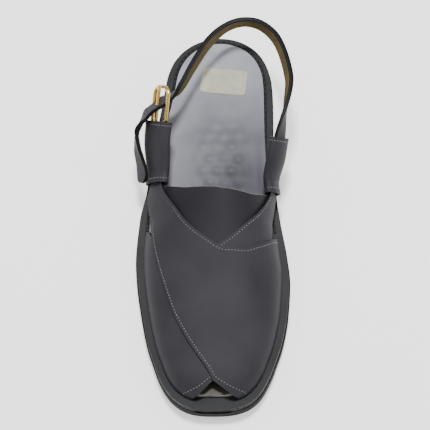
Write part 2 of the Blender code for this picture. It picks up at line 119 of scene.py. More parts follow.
# share of the length, ridge height, ridge place, section exponents outside and inside
lastForm = (
    (0.38, 1.200 * upper["instep"], 0.045 * sole["ballWidth"], 1.25, 2.20),
    (0.44, 0.970 * upper["instep"], 0.045 * sole["ballWidth"], 1.33, 2.20),
    (0.50, 0.860 * upper["instep"], 0.040 * sole["ballWidth"], 1.55, 2.10),
    (0.60, 0.700 * upper["instep"], 0.030 * sole["ballWidth"], 1.95, 2.15),
    (0.70, 0.580 * upper["instep"], 0.022 * sole["ballWidth"], 2.30, 2.40),
    (0.80, 1.130 * upper["toeBox"], 0.020 * sole["ballWidth"], 2.50, 2.60),
    (0.90, 1.010 * upper["toeBox"], 0.020 * sole["ballWidth"], 2.60, 2.60),
    (1.00, 0.960 * upper["toeBox"], 0.020 * sole["ballWidth"], 2.60, 2.60),
)
# along, rear share, rear turn, front share, front turn
overPanel = (
    (0.00, 0.412, -0.650, 0.402, -0.760),
    (0.07, 0.443, -0.615, 0.430, -0.780),
    (0.20, 0.516, -0.436, 0.500, -0.750),
    (0.32, 0.565, -0.280, 0.593, -0.645),
    (0.44, 0.605, -0.090, 0.690, -0.510),
    (0.56, 0.628, 0.065, 0.780, -0.380),
    (0.68, 0.628, 0.236, 0.860, -0.205),
    (0.80, 0.613, 0.421, 0.921, -0.043),
    (0.86, 0.597, 0.575, 0.9431, 0.000),
    (0.90, 0.585, 0.680, 0.9544, 0.100),
    (0.93, 0.575, 0.790, 0.9625, 0.280),
    (0.96, 0.566, 0.890, 0.9667, 0.550),
    (1.00, 0.560, 1.000, 0.9674, 1.000),
)
underPanel = (
    (0.00, 0.432, 0.730, 0.425, 0.880),
    (0.07, 0.465, 0.710, 0.458, 0.900),
    (0.20, 0.523, 0.529, 0.520, 0.850),
    (0.32, 0.569, 0.273, 0.590, 0.700),
    (0.44, 0.605, 0.080, 0.690, 0.540),
    (0.56, 0.628, -0.100, 0.780, 0.400),
    (0.68, 0.622, -0.330, 0.860, 0.220),
    (0.80, 0.600, -0.600, 0.925, 0.060),
    (0.90, 0.552, -0.800, 0.9529, -0.100),
    (0.93, 0.545, -0.870, 0.9635, -0.290),
    (0.96, 0.538, -0.930, 0.9680, -0.580),
    (1.00, 0.530, -1.000, 0.9688, -1.000),
)
tonguePanel = (
    (0.00, 0.450, -0.600, 0.560, -0.700),
    (0.25, 0.475, -0.355, 0.650, -0.400),
    (0.50, 0.487, -0.050, 0.690, 0.000),
    (0.75, 0.493, 0.340, 0.650, 0.400),
    (1.00, 0.474, 0.720, 0.560, 0.780),
)

# The sleeves, the strap and the buckle
fittings = {
    "sleeve": 42 * mm,
    "sleeveWall": 1.8 * mm,
    "sleeveRoom": 3.2 * mm,
    "wingRoom": 1.2 * mm,
    "strapRoom": 0.5 * mm,
    "wingIn": 0.07,
    "strapWidth": 12 * mm,
    "strap": 3 * mm,
    "strapSeat": 8 * mm,
    "strapTip": 6 * mm,
    "wire": 2.4 * mm,
    "wireSeen": 2.8 * mm,
    "sideGap": 0.5 * mm,
    "frameLength": 31 * mm,
    "corner": 6 * mm,
    "seat": 3.5 * mm,
    "lean": math.radians(42),
    "medialLean": math.radians(22),
    "prong": 2.6 * mm,
    "eyeShare": 0.6,
    "prongEnd": 1.02,
    "prongWrap": math.radians(280),
    "prongRise": 0.25,
    "prongTip": 0.8,
    "slotRoom": 0.4 * mm,
}
frameHalf = fittings["strapWidth"] / 2 + fittings["sideGap"] + fittings["wire"]
eyeDepth = fittings["wire"] / 2 + fittings["prong"] * fittings["eyeShare"] + 2 * sole["gap"]
prongRest = fittings["wire"] / 2 + sole["gap"] + fittings["prong"] / 2
# inward, back, up, share of the top's lean
lateralSleeve = ((0.012, 0.62, 0.34, 0.7), (0.045, 0.94, 0.53, 1.0))
medialSleeve = ((-0.070, 0.56, 0.34, 0.7), (-0.120, 0.83, 0.50, 1.0))
ballToHeel = sole["ballWidth"] / sole["heelWidth"]
# to the inner side, back, up, lean in degrees
strapArc = (
    (0.4770 * ballToHeel, -0.416, 0.84, -18),
    (0.4840 * ballToHeel, -0.195, 0.86, -20),
    (0.574, 0.182, 0.87, -12),
    (0.419, 0.360, 0.87, 0),
    (0.250, 0.405, 0.87, 10),
    (0.082, 0.345, 0.87, 8),
    (-0.078, 0.180, 0.87, -4),
    (-0.221, -0.080, 0.87, -4),
    (-0.347, -0.338, 0.87, 20),
)
# back, outward, down, share of the turn to upright
strapAtBuckle = (
    (0.66, -0.72, -0.08, 0.00),
    (0.52, 0.04, 0.00, 0.00),
    (0.31, 1.15, 0.24, 0.20),
    (0.08, 1.34, 0.68, 0.60),
)
# along the sleeve, outward, down, share of the turn to upright
strapTail = (
    (0.20, 0.92, 0.98, 0.85),
    (0.42, 0.60, 0.98, 0.70),
    (0.70, 0.25, 0.84, 0.30),
    (1.00, 0.15, 0.50, 0.00),
)


def level(table, column, share):
    # a column of a table at a share, on a curve that never overshoots its rows
    places = [row[0] for row in table]
    levels = [row[column] for row in table]
    share = min(max(share, places[0]), places[-1])
    spans = [after - before for before, after in zip(places, places[1:])]
    steps = [(after - before) / span for before, after, span in zip(levels, levels[1:], spans)]
    slopes = [2 * a * b / (a + b) if a * b > 0 else 0.0 for a, b in zip(steps, steps[1:])]
    slopes = [steps[0]] + slopes + [steps[-1]]
    index = next(i for i in range(len(spans)) if share <= places[i + 1])
    part = (share - places[index]) / spans[index]
    rise = (levels[index + 1] - levels[index]) * part * part * (3 - 2 * part)
    bend = slopes[index] * (1 - part) - slopes[index + 1] * part
    return levels[index] + rise + spans[index] * part * (1 - part) * bend


def follow(places, points, along):
    # a point of the smooth curve through points that stand at the given places
    along = min(max(along, places[0]), places[-1])
    index = next(i for i in range(len(places) - 1) if along <= places[i + 1])
    slopes = []
    for knot in (index, index + 1):
        before = max(knot - 1, 0)
        after = min(knot + 1, len(points) - 1)
        slopes.append((points[after] - points[before]) / (places[after] - places[before]))
    span = places[index + 1] - places[index]
    part = (along - places[index]) / span
    rise = (points[index + 1] - points[index]) * part * part * (3 - 2 * part)
    bend = slopes[0] * (1 - part) - slopes[1] * part
    return points[index] + rise + bend * (span * part * (1 - part))


def opened(part, power):
    part = min(max(part, 0.0), 1.0)
    return (1 - (1 - part) ** power) ** (1 / power)


def shareAt(y):
    return (heelBack - y) / sole["length"]


def halfWidth(side, y, inset):
    flat = level(soleOutline, 1 if side < 0 else 2, shareAt(y)) - inset
    heelPart = (heelBack - inset - y) / (heelBack - inset)
    toePart = (y - toeFront - inset) / (sole["toeRound"] - inset)
    return flat * opened(heelPart, 2.0) * opened(toePart, 2.8)


def underside(share):
    return level(soleLine, 1, share)


weltTop = sole["outsole"] + sole["gap"] + sole["welt"]
insoleTop = weltTop + sole["gap"] + sole["insole"]


def lastPoint(share, turn, lift):
    # a point over the last: turn -1 is the outer edge, 0 the ridge, 1 the inner edge
    y = heelBack - share * sole["length"]
    side = -1 if turn < 0 else 1
    inset = level(drawnIn, 1, share) + wall - lift
    ridge = level(lastForm, 2, share)
    power = 2 / level(lastForm, 3 if side < 0 else 4, share)
    foot = underside(share) + weltTop + sole["seamGap"]
    toePart = (y - toeFront - inset) / upper["toeWall"]
    rise = (level(lastForm, 1, share) + lift - foot) * opened(toePart, 2.4)
    reach = halfWidth(side, y, inset) - side * ridge
    angle = abs(turn) * math.pi / 2
    x = ridge + side * reach * math.sin(angle) ** power
    return Vector((x, y, foot + rise * math.cos(angle) ** power))


def panelPoint(panel, along, across, lift):
    rear = (level(panel, 1, along), level(panel, 2, along))
    front = (level(panel, 3, along), level(panel, 4, along))
    share = rear[0] + (front[0] - rear[0]) * across
    turn = rear[1] + (front[1] - rear[1]) * across
    return lastPoint(share, turn, lift)


def overLift(along):
    drop = min(max((along - upper["dropStart"]) / (1 - upper["dropStart"]), 0.0), 1.0)
    return (wall - upper["bite"]) * (1 - drop * drop * (3 - 2 * drop)) + upper["bite"] * drop


# Modelling helpers


def deselectAll():
    if bpy.context.object and bpy.context.object.mode != "OBJECT":
        bpy.ops.object.mode_set(mode="OBJECT")
    bpy.ops.object.select_all(action="DESELECT")


def pick(piece):
    deselectAll()
    piece.select_set(True)
    bpy.context.view_layer.objects.active = piece


def editAll(piece, steps):
    # runs edit mode operators on the whole of a piece
    pick(piece)
    bpy.ops.object.mode_set(mode="EDIT")
    bpy.ops.mesh.select_all(action="SELECT")
    steps()
    bpy.ops.object.mode_set(mode="OBJECT")


def addSheet(name, columns, rows, place, flipped=False):
    # a grid whose points go where place(across, along) says, both from 0 to 1
    deselectAll()
    bpy.ops.mesh.primitive_grid_add(x_subdivisions=columns, y_subdivisions=rows, size=1)
    piece = bpy.context.object
    piece.name = name
    for vertex in piece.data.vertices:
        vertex.co = place(vertex.co.x + 0.5, vertex.co.y + 0.5)
    editAll(piece, lambda: bpy.ops.mesh.remove_doubles(threshold=0.002 * mm))
    if flipped:
        editAll(piece, lambda: bpy.ops.mesh.flip_normals())
    return piece


def applyModifiers(piece):
    pick(piece)
    for modifier in list(piece.modifiers):
        bpy.ops.object.modifier_apply(modifier=modifier.name)


def thicken(piece, thickness, offset, even=True):
    solidify = piece.modifiers.new("wall", "SOLIDIFY")
    solidify.thickness = thickness
    solidify.offset = offset
    solidify.use_even_offset = even
    solidify.use_quality_normals = True


def roundEdges(piece, width, segments=3):
    bevel = piece.modifiers.new("round", "BEVEL")
    bevel.width = width
    bevel.segments = segments
    bevel.limit_method = "ANGLE"
    bevel.angle_limit = math.radians(60)
    bevel.use_clamp_overlap = True


def dress(piece, material, rim=None):
    # the leather's face, and the finish of its cut edge
    piece.data.materials.clear()
    piece.data.materials.append(material)
    if rim:
        piece.data.materials.append(rim)
        for modifier in piece.modifiers:
            if modifier.type == "SOLIDIFY":
                modifier.material_offset_rim = 1


def settle(piece, replaced=None, angle=50):
    # finishes a dressed piece: modifiers applied, shaded, riding on the shoe
    applyModifiers(piece)
    pick(piece)
    bpy.ops.object.shade_smooth_by_angle(angle=math.radians(angle))
    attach(piece, "root")
    if replaced:
        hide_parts(replaced)


# Materials


def linear(code):
    channels = [int(code[i:i + 2], 16) / 255 for i in (1, 3, 5)]
    return tuple(c / 12.92 if c <= 0.04045 else ((c + 0.055) / 1.055) ** 2.4 for c in channels) + (1.0,)


def perSize(size):
    # a pattern's scale for one repeat of that size, in Object coordinates
    return 1 / size


def addNode(material, kind, settings=None, links=None):
    # settings are attributes or socket values by name; links go from a socket to this node's input
    node = material.node_tree.nodes.new(kind)
    for key, value in (settings or {}).items():
        if isinstance(key, str) and hasattr(node, key):
            setattr(node, key, value)
        else:
            node.inputs[key].default_value = value
    for key, source in (links or {}).items():
        material.node_tree.links.new(source, node.inputs[key])
    return node


def newMaterial(name, settings):
    material = bpy.data.materials.new(name)
    material.use_nodes = True
    shader = material.node_tree.nodes["Principled BSDF"]
    for key, value in settings.items():
        shader.inputs[key].default_value = value
    return material, shader


def connect(material, shader, sources):
    for key, source in sources.items():
        material.node_tree.links.new(source, shader.inputs[key])
    return material


def objectPlace(material):
    return addNode(material, "ShaderNodeTexCoord").outputs["Object"]


def noise(material, place, size, detail):
    settings = {"Scale": perSize(size), "Detail": detail}
    return addNode(material, "ShaderNodeTexNoise", settings, {"Vector": place}).outputs["Fac"]


def pebbles(material, place, size):
    # distance to the edges of small cells, as in grained leather
    settings = {"Scale": perSize(size), "feature": "DISTANCE_TO_EDGE"}
    return addNode(material, "ShaderNodeTexVoronoi", settings, {"Vector": place}).outputs["Distance"]


def remapped(material, value, settings):
    return addNode(material, "ShaderNodeMapRange", settings, {"Value": value}).outputs["Result"]


def bumped(material, height, strength, depth):
    settings = {"Strength": strength, "Distance": depth}
    return addNode(material, "ShaderNodeBump", settings, {"Height": height}).outputs["Normal"]


def mixed(material, factor, base, code):
    # the base colour, going over to another one with the factor
    settings = {"data_type": "RGBA", 7: linear(code)}
    return addNode(material, "ShaderNodeMix", settings, {0: factor, 6: base}).outputs[2]


def colourRamp(material, factor, stops):
    ramp = addNode(material, "ShaderNodeValToRGB", {}, {"Fac": factor})
    for place, code in stops[2:]:
        ramp.color_ramp.elements.new(place)
    for element, (place, code) in zip(ramp.color_ramp.elements, sorted(stops)):
        element.position = place
        element.color = linear(code)
    return ramp.outputs["Color"]


def leather(name, dark, light, roughness, grain, depth, patch=38 * mm):
    # Finished full grain cow leather: satin, with a fine pebbled grain and soft tone changes
    material, shader = newMaterial(name, {"Roughness": roughness, "Specular IOR Level": 0.14})
    place = objectPlace(material)
    tone = noise(material, place, patch, 3.0)
    creases = remapped(material, pebbles(material, place, grain), {"From Max": 0.12})
    pores = noise(material, place, grain * 2.5, 4.0)
    height = addNode(material, "ShaderNodeMath", {"operation": "ADD"}, {0: creases, 1: pores})
    return connect(material, shader, {
        "Base Color": colourRamp(material, tone, ((0.3, dark), (0.7, light))),
        "Roughness": remapped(material, tone, {"To Min": roughness - 0.06, "To Max": roughness + 0.08}),
        "Normal": bumped(material, height.outputs["Value"], 0.35, depth),
    })


def mouldedRubber():
    # Moulded black rubber: matt, with a faint cast skin
    material, shader = newMaterial("mouldedBlackRubber", {"Roughness": 0.75, "Specular IOR Level": 0.2})
    skin = noise(material, objectPlace(material), 0.9 * mm, 3.0)
    return connect(material, shader, {
        "Base Color": colourRamp(material, skin, ((0.25, "#050506"), (0.8, "#0e0e10"))),
        "Normal": bumped(material, skin, 0.3, 0.1 * mm),
    })


def satinInsole():
    # Polyurethane coated insole leather: light satin blue-grey, with a violet tint and painted shade in the
    # middle, and painted shade under the toes and between the bumps
    material, shader = newMaterial("satinInsoleLeather", {"Specular IOR Level": 0.2})
    place = objectPlace(material)
    tone = noise(material, place, 26 * mm, 2.5)
    colour = colourRamp(material, tone, ((0.28, "#8a8a94"), (0.5, "#95969d"), (0.72, "#9fa0a5")))
    # the colour goes over to a dark violet on the inner side of the waist: a violet tint with painted shade
    # next to the inner sleeve
    waistMiddle = {"operation": "DISTANCE", 1: (0.022, -0.084, 0.02)}
    waist = addNode(material, "ShaderNodeVectorMath", waistMiddle, {0: place}).outputs["Value"]
    violetAndShade = remapped(material, waist, {"From Min": 0.01, "From Max": 0.1, "To Min": 1.0, "To Max": 0.0})
    colour = mixed(material, violetAndShade, colour, "#302f3b")
    # under the toes the colour goes over to a dark olive: olive board darkened with painted shade under the
    # toe box
    split = addNode(material, "ShaderNodeSeparateXYZ", {}, {"Vector": place})
    underToesShade = remapped(material, split.outputs["Y"], {"From Min": -0.2, "From Max": -0.225})
    colour = mixed(material, underToesShade, colour, "#45453c")
    # painted shade in the hollows between the bumps, darker than the tops
    hollow = addNode(material, "ShaderNodeAttribute", {"attribute_name": "hollow"})
    return connect(material, shader, {
        "Base Color": mixed(material, hollow.outputs["Fac"], colour, "#33323c"),
        "Roughness": remapped(material, tone, {"To Min": 0.4, "To Max": 0.52}),
        "Normal": bumped(material, pebbles(material, place, 0.8 * mm), 0.22, 0.05 * mm),
    })


def polishedBrass():
    # Drawn brass wire, bent, polished and lacquered: yellow gold with tiny rub marks
    material, shader = newMaterial("polishedBrass", {"Metallic": 1.0, "Base Color": linear("#ecc873")})
    rubs = noise(material, objectPlace(material), 4 * mm, 1.0)
    gloss = remapped(material, rubs, {"To Min": 0.16, "To Max": 0.24})
    return connect(material, shader, {"Roughness": gloss})


def waxedThread(name, dark, light):
    # Twisted waxed polyester thread: slanted plies and a soft wax sheen
    material, shader = newMaterial(name, {"Roughness": 0.55, "Specular IOR Level": 0.45})
    settings = {"Scale": perSize(3 * mm), "Distortion": 1.5}
    links = {"Vector": objectPlace(material)}
    plies = addNode(material, "ShaderNodeTexWave", settings, links).outputs["Fac"]
    return connect(material, shader, {
        "Base Color": colourRamp(material, plies, ((0.2, dark), (0.8, light))),
        "Normal": bumped(material, plies, 0.4, 0.1 * mm),
    })


def vinylSticker():
    # Blank cream vinyl sticker with a gloss film and faint mottling
    material, shader = newMaterial("creamVinylSticker", {"Roughness": 0.32, "Specular IOR Level": 0.5})
    mottle = noise(material, objectPlace(material), 7 * mm, 3.0)
    colour = colourRamp(material, mottle, ((0.3, "#a0a18c"), (0.7, "#b2b2a1")))
    return connect(material, shader, {"Base Color": colour})


greyLeather = leather("greySatinLeather", "#29282d", "#323136", 0.58, 0.7 * mm, 0.06 * mm)
darkLeather = leather("darkSatinLeather", "#1f1e23", "#26252a", 0.5, 0.7 * mm, 0.06 * mm)
weltLeather = leather("waxedWeltLeather", "#232426", "#2c2d2f", 0.5, 0.8 * mm, 0.08 * mm, 20 * mm)
liningLeather = leather("oliveTanLining", "#4b3f22", "#62542f", 0.62, 0.9 * mm, 0.08 * mm, 16 * mm)
rawLeather = leather("rawCutLeather", "#8c8474", "#b0a898", 0.8, 0.5 * mm, 0.1 * mm, 6 * mm)
boardEdge = leather("rawBoardEdge", "#92918d", "#b4b3b0", 0.8, 0.5 * mm, 0.1 * mm, 6 * mm)
edgePaint = leather("blackEdgePaint", "#0b0b0d", "#131316", 0.5, 0.6 * mm, 0.04 * mm, 9 * mm)
soleRubber = mouldedRubber()
insoleSatin = satinInsole()
brass = polishedBrass()
paleThread = waxedThread("paleWaxedThread", "#666669", "#8f8f92")
blackThread = waxedThread("blackWaxedThread", "#050506", "#101012")
sticker = vinylSticker()
print("materials made")


# The sole


def soleLayer(name, insetAt, lower, thickness, columns, rows, front=None, hollow=0.0):
    # a closed layer of the sole, cut off straight or hollow where a front is given
    back = heelBack - insetAt(0)
    end = toeFront + insetAt(1) if front is None else front
    turn = math.pi if front is None else math.pi / 2
    whole = 1 - math.cos(turn)

    def spot(across, along):
        eased = (1 - math.cos(turn * along)) / whole
        even = (1 - math.cos(math.pi * across)) / 2
        y = back + (end - back) * eased
        inset = insetAt(shareAt(y))
        outer = -halfWidth(-1, y, inset)
        inner = halfWidth(1, y, inset)
        bow = hollow * eased * (1 - (2 * even - 1) ** 2)
        return Vector((outer + (inner - outer) * even, y + bow, lower(shareAt(y))))

    piece = addSheet(name, columns, rows, spot, flipped=True)
    thicken(piece, thickness, 1, even=False)
    return piece


treads = {
    "pitch": 4.2 * mm,
    "depth": 0.8 * mm,
    "border": 9 * mm,
    "sway": 1.6 * mm,
    "swayLength": 5 * mm,
    "ridge": 0.25,
    "flank": 2.5,
}


def addTread(piece, bottomAt):
    # shallow wavy grooves across the underside, up from the floor
    for vertex in piece.data.vertices:
        x, y, z = vertex.co
        if abs(z - bottomAt(shareAt(y))) > 0.3 * mm:
            continue
        side = min(x + halfWidth(-1, y, 0), halfWidth(1, y, 0) - x)
        if side < treads["border"] or y > heelBack - treads["border"] or y < toeFront + treads["border"]:
            continue
        swayed = y + treads["sway"] * math.sin(x / treads["swayLength"])
        wave = math.sin(swayed / treads["pitch"] * 2 * math.pi) - treads["ridge"]
        if wave > 0:
            vertex.co.z += treads["depth"] * min(wave * treads["flank"], 1)


outsole = soleLayer("outsoleRubber", lambda share: -sole["proud"], underside, sole["outsole"], 70, 330)
applyModifiers(outsole)
addTread(outsole, underside)
roundEdges(outsole, 0.7 * mm)
dress(outsole, soleRubber)
settle(outsole, "outsole")

heel = soleLayer("heelBlock", lambda share: sole["heelInset"], lambda share: 0.0, sole["heelHeight"],
                 60, 110, heelBack - sole["heelLength"], sole["heelHollow"])
applyModifiers(heel)
addTread(heel, lambda share: 0.0)
roundEdges(heel, 0.6 * mm)
dress(heel, soleRubber)
settle(heel, "heel")

outsoleTop = sole["outsole"] + sole["gap"]
welt = soleLayer("weltLayer", lambda share: 0.0, lambda share: underside(share) + outsoleTop,
                 sole["welt"], 24, 200)
roundEdges(welt, 0.7 * mm, 4)
dress(welt, weltLeather, edgePaint)
settle(welt, "welt")
for face in welt.data.polygons:
    face.material_index = 0 if face.normal.z > 0.9 else 1

pad = {
    "crown": 0.7 * mm,
    "edge": 9 * mm,
    "bumpWide": 11.5 * mm,
    "bumpLong": 9.5 * mm,
    "bumpHigh": 0.9 * mm,
    "hollowShadeTone": 0.12,
    "bumpFrom": -44 * mm,
    "bumpTo": -92 * mm,
    "bumpMiddle": 3 * mm,
    "bumpSide": 25 * mm,
    "bumpSpread": 0.36,
    "bumpStray": 0.1,
    "pressed": 0.25,
    "fade": 15 * mm,
    "slimOuter": 2.4 * mm,
    "slimInner": 0.4 * mm,
    "slimBack": 1.3 * mm,
    "slimFrom": -70 * mm,
    "slimSpread": 2.4,
    "cutFront": 30 * mm,
}


def softStep(value, low, high):
    part = min(max((value - low) / (high - low), 0.0), 1.0)
    return part * part * (3 - 2 * part)


def bumpAt(x, y):
    # share of a bump's height, and how far inside the field of bumps the point is
    inField = softStep(y, pad["bumpTo"] - pad["fade"], pad["bumpTo"])
    inField *= 1 - softStep(y, pad["bumpFrom"], pad["bumpFrom"] + pad["fade"])
    inField *= 1 - softStep(abs(x - pad["bumpMiddle"]), pad["bumpSide"] - pad["fade"], pad["bumpSide"])
    if inField <= 0:
        return 0.0, 0.0
    bump = 0.0
    middleRow = round(y / pad["bumpLong"])
    for row in (middleRow - 1, middleRow, middleRow + 1):
        shift = 0.5 if row % 2 else 0.0
        middleColumn = round(x / pad["bumpWide"] - shift)
        for column in (middleColumn - 1, middleColumn, middleColumn + 1):
            # each bump stands a little off its place, and some are pressed flatter
            sway = math.sin(12.9 * row + 7.3 * column)
            nod = math.sin(5.1 * row - 9.7 * column)
            away = (x / pad["bumpWide"] - column - shift - pad["bumpStray"] * sway) / pad["bumpSpread"]
            along = (y / pad["bumpLong"] - row - pad["bumpStray"] * nod) / pad["bumpSpread"]
            high = 1 - pad["pressed"] + pad["pressed"] * sway * nod
            bump += high * math.exp(-(away * away + along * along))
    return bump * inField, inField


def padHeight(x, y, inset):
    side = min(x + halfWidth(-1, y, inset), halfWidth(1, y, inset) - x)
    back = heelBack - inset - y
    rise = pad["crown"] * softStep(min(side, back), 0, pad["edge"])
    return rise + pad["bumpHigh"] * bumpAt(x, y)[0]


def insoleInset(share):
    return level(drawnIn, 2, share)


insole = soleLayer("paddedInsole", insoleInset, lambda share: underside(share) + weltTop + sole["gap"],
                   sole["insole"], 90, 300)
applyModifiers(insole)
# the hollow attribute holds painted shade between the bumps of the pad
hollowShade = insole.data.attributes.new("hollow", "FLOAT", "POINT")
for vertex in insole.data.vertices:
    x, y, z = vertex.co
    bump, inField = bumpAt(x, y)
    hollowShade.data[vertex.index].value = pad["hollowShadeTone"] * max(inField - 1.4 * bump, 0)
    share = shareAt(y)
    if z > underside(share) + insoleTop - 0.4 * mm:
        vertex.co.z += padHeight(x, y, insoleInset(share))
    # the heel's seat is narrower than the welt inside it, most on the outer side
    slim = softStep(y, pad["slimFrom"], 0)
    most = pad["slimOuter"] if x < 0 else -pad["slimInner"]
    vertex.co.x += slim * most * min(abs(x) / sole["heelWidth"] * pad["slimSpread"], 1)
    vertex.co.y -= slim * pad["slimBack"] * max(y, 0) / heelBack
roundEdges(insole, 0.9 * mm)
dress(insole, insoleSatin)
settle(insole, "insole", 60)
# the front cut shows bare board, with a black band of painted shade along its top for the slit there
insole.data.materials.append(boardEdge)
insole.data.materials.append(edgePaint)
for face in insole.data.polygons:
    if face.center.y < toeFront + pad["cutFront"] and face.normal.y < -0.3:
        face.material_index = 1 if face.normal.z < 0.3 else 2
print("sole and insole made")


# Stitches


def addStitch(length, width, height):
    # one stitch along X, a capsule pulled into the leather at its ends
    deselectAll()
    bpy.ops.mesh.primitive_uv_sphere_add(segments=8, ring_count=6, radius=0.5,
                                         rotation=(0, math.pi / 2, 0))
    stitch = bpy.context.object
    bpy.ops.object.transform_apply(location=True, rotation=True, scale=True)
    for vertex in stitch.data.vertices:
        x, y, z = vertex.co
        vertex.co = Vector((x * length, y * width, (z - 1.2 * x * x) * height))
    return stitch


def measured(path):
    lengths = [0.0]
    for before, after in zip(path, path[1:]):
        lengths.append(lengths[-1] + (after[0] - before[0]).length)
    return lengths


def pathAt(path, lengths, distance):
    # the point and the normal at a distance along a path
    distance = min(max(distance, 0.0), lengths[-1])
    index = next(i for i in range(len(path) - 1) if distance <= lengths[i + 1] or i == len(path) - 2)
    span = max(lengths[index + 1] - lengths[index], 1e-9)
    part = (distance - lengths[index]) / span
    before, after = path[index], path[index + 1]
    return before[0].lerp(after[0], part), before[1].lerp(after[1], part).normalized()


def stitchRow(name, path, seam, material, stop=0.0):
    # stitches along a path of points with their surface normals
    lengths = measured(path)
    template = addStitch(seam["length"], seam["width"], seam["height"])
    copies = []
    count = int((lengths[-1] - stop) / seam["pitch"])
    for step in range(count + 1):
        distance = step * seam["pitch"]
        middle, normal = pathAt(path, lengths, distance)
        before = pathAt(path, lengths, distance - 0.4 * seam["length"])[0]
        after = pathAt(path, lengths, distance + 0.4 * seam["length"])[0]
        ahead = Matrix.Rotation(seam["slant"], 3, normal) @ (after - before).normalized()
        side = normal.cross(ahead).normalized()
        up = ahead.cross(side)
        turn = Matrix((ahead, side, up)).transposed().to_4x4()
        copy = template.copy()
        copy.data = template.data.copy()
        copy.data.transform(Matrix.Translation(middle) @ turn)
        bpy.context.collection.objects.link(copy)
        copies.append(copy)
    bpy.data.objects.remove(template)
    deselectAll()
    for copy in copies:
        copy.select_set(True)
    bpy.context.view_layer.objects.active = copies[0]
    bpy.ops.object.join()
    row = bpy.context.object
    row.name = name
    dress(row, material)
    settle(row, angle=60)


weltSeam = {
    "pitch": 4.1 * mm,
    "length": 4.0 * mm,
    "width": 1.5 * mm,
    "height": 1.5 * mm,
    "slant": math.radians(14),
    "insetBack": 4.2 * mm,
    "insetOuter": 6.2 * mm,
    "insetInner": 5.0 * mm,
    "sideFrom": 0.12,
    "steps": 90,
    "grooveShade": 1.9 * mm,
    "grooveHigh": 0.1 * mm,
    "grooveDeep": 0.4 * mm,
}
panelSeam = {
    "pitch": 2.3 * mm,
    "length": 1.25 * mm,
    "width": 0.5 * mm,
    "height": 0.4 * mm,
    "slant": 0.0,
    "inset": 2.4 * mm,
    "hem": 2.6 * mm,
    "proud": 0.05 * mm,
    "steps": 160,
    "rimSteps": 300,
    "widest": 0.45,
}


def rimPath(startShare, height):
    # round the heel beside the insole, from the outer side to the inner side
    path = []
    steps = weltSeam["steps"]
    for side in (-1, 1):
        run = []
        atSide = weltSeam["insetOuter"] if side < 0 else weltSeam["insetInner"]
        for step in range(steps + 1):
            share = startShare * (1 - math.cos(math.pi / 2 * step / steps))
            toSide = softStep(share, 0, weltSeam["sideFrom"])
            inset = weltSeam["insetBack"] + (atSide - weltSeam["insetBack"]) * toSide
            y = heelBack - inset - share * sole["length"]
            x = side * halfWidth(side, y, inset)
            run.append((Vector((x, y, underside(share) + height)), Vector((0, 0, 1))))
        path += list(reversed(run)) if side < 0 else run[1:]
    return path


stitchRow("weltStitches", rimPath(0.50, weltTop + 0.3 * mm), weltSeam, blackThread)

groovePath = rimPath(0.52, weltTop + 0.05 * mm)
grooveLengths = measured(groovePath)


def grooveSpot(across, along):
    # a flat rounded black band lying under the stitches: painted shade of the stitch groove
    distance = along * grooveLengths[-1]
    middle, normal = pathAt(groovePath, grooveLengths, distance)
    before = pathAt(groovePath, grooveLengths, distance - 0.5 * mm)[0]
    after = pathAt(groovePath, grooveLengths, distance + 0.5 * mm)[0]
    side = normal.cross((after - before).normalized()).normalized()
    rise = normal * (weltSeam["grooveHigh"] * math.sin(math.pi * across))
    return middle + side * (weltSeam["grooveShade"] * (across - 0.5)) + rise


# the black band is painted shade of the stitch groove
grooveShade = addSheet("weltGrooveShade", 6, 260, grooveSpot)
thicken(grooveShade, weltSeam["grooveDeep"], -1, even=False)
dress(grooveShade, edgePaint)
settle(grooveShade, angle=60)
print("welt stitched")


# The upper: two panels that cross, sewn along their edges


def surfaceNormal(panel, along, across, lift):
    step = 0.004
    ahead = panelPoint(panel, min(along + step, 1), across, lift)
    ahead -= panelPoint(panel, max(along - step, 0), across, lift)
    side = panelPoint(panel, along, min(across + step, 1), lift)
    side -= panelPoint(panel, along, max(across - step, 0), lift)
    normal = ahead.cross(side).normalized()
    # the foot's middle line, for telling the outside from the inside
    middle = panelPoint(panel, along, across, lift)
    outward = middle - Vector((3 * mm, middle.y, 15 * mm))
    return normal if normal.dot(outward) > 0 else -normal


def insetPart(panel, along, edge, lift, rim):
    # how far across a panel a line lies that keeps the seam's inset from the edge
    low = 0.0
    high = panelSeam["widest"]
    for halving in range(12):
        part = (low + high) / 2
        point = panelPoint(panel, along, abs(edge - part), lift)
        if min((point - place).length for place in rim) < panelSeam["inset"]:
            low = part
        else:
            high = part
    return part


def seamPath(panel, liftAt, edge, start, end):
    # a line a little inside a panel's edge, 0 the rear and 1 the front one, on its outer face
    path = []
    shares = [step / panelSeam["rimSteps"] for step in range(panelSeam["rimSteps"] + 1)]
    rim = [panelPoint(panel, share, edge, liftAt(share) + wall) for share in shares]
    for step in range(panelSeam["steps"] + 1):
        along = start + (end - start) * step / panelSeam["steps"]
        lift = liftAt(along) + wall
        across = abs(edge - insetPart(panel, along, edge, lift, rim))
        normal = surfaceNormal(panel, along, across, lift)
        path.append((panelPoint(panel, along, across, lift) + normal * panelSeam["proud"], normal))
    return path


def panelSheet(name, panel, liftAt):
    runsInward = panel[0][2] < panel[-1][2]

    def spot(across, along):
        # rows and columns stand closer together toward the toe
        across = 1 - (1 - across) ** 1.7
        along = 1 - (1 - along) ** 1.4
        return panelPoint(panel, along, across, liftAt(along))

    piece = addSheet(name, 90, 170, spot, flipped=not runsInward)
    thicken(piece, wall, 1)
    return piece


def underLift(along):
    return 0.0


def overFlush(along):
    return overLift(along) + 0.2 * mm


under = panelSheet("underPanel", underPanel, underLift)
roundEdges(under, 0.5 * mm)
dress(under, greyLeather, edgePaint)
settle(under, "upper")
over = panelSheet("overPanel", overPanel, overFlush)
roundEdges(over, 0.6 * mm)
dress(over, greyLeather, edgePaint)
settle(over, "upper")
print("panels drawn over the last")

